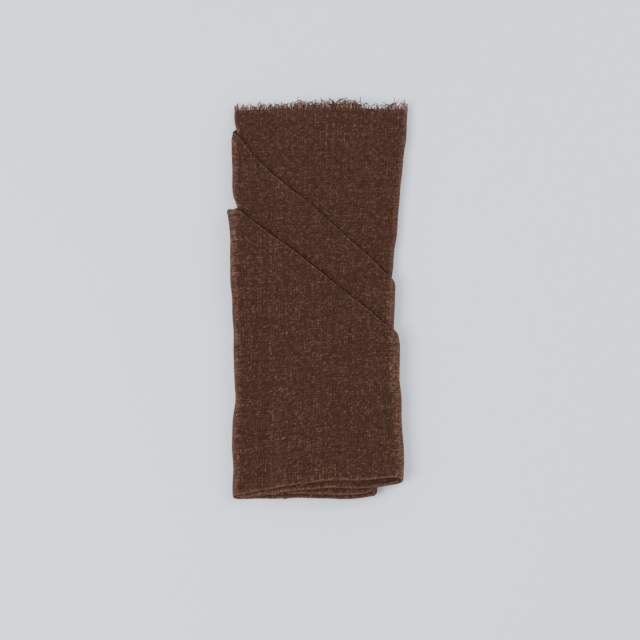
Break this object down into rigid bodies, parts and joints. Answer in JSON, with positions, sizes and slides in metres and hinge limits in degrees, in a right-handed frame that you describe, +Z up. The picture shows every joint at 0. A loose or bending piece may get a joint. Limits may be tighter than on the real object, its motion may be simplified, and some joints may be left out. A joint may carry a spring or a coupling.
{
  "type": "folded cloth napkin",
  "caption": "Square cloth table napkin with frayed edges, folded into a long upright pocket with two slanting turned-back layers and its sides tucked under.",
  "frame": {"origin": "under the middle of the napkin's box, on the surface that it lies on", "axes": "+Z up, +Y along the napkin towards its frayed top, +X to its right as seen from above"},
  "size_m": [0.1248, 0.2804, 0.0169],
  "materials": {
    "cloth": "matte slubby plain weave, dark brown",
    "yarn": "matte loose yarn ends, brown"
  },
  "bodies": {
    "root": {"napkin_cloth": "cloth", "fringe_back_top": "yarn", "fringe_front_top": "yarn", "fringe_front_side": "yarn", "fringe_back_side": "yarn"}
  },
  "joints": []
}
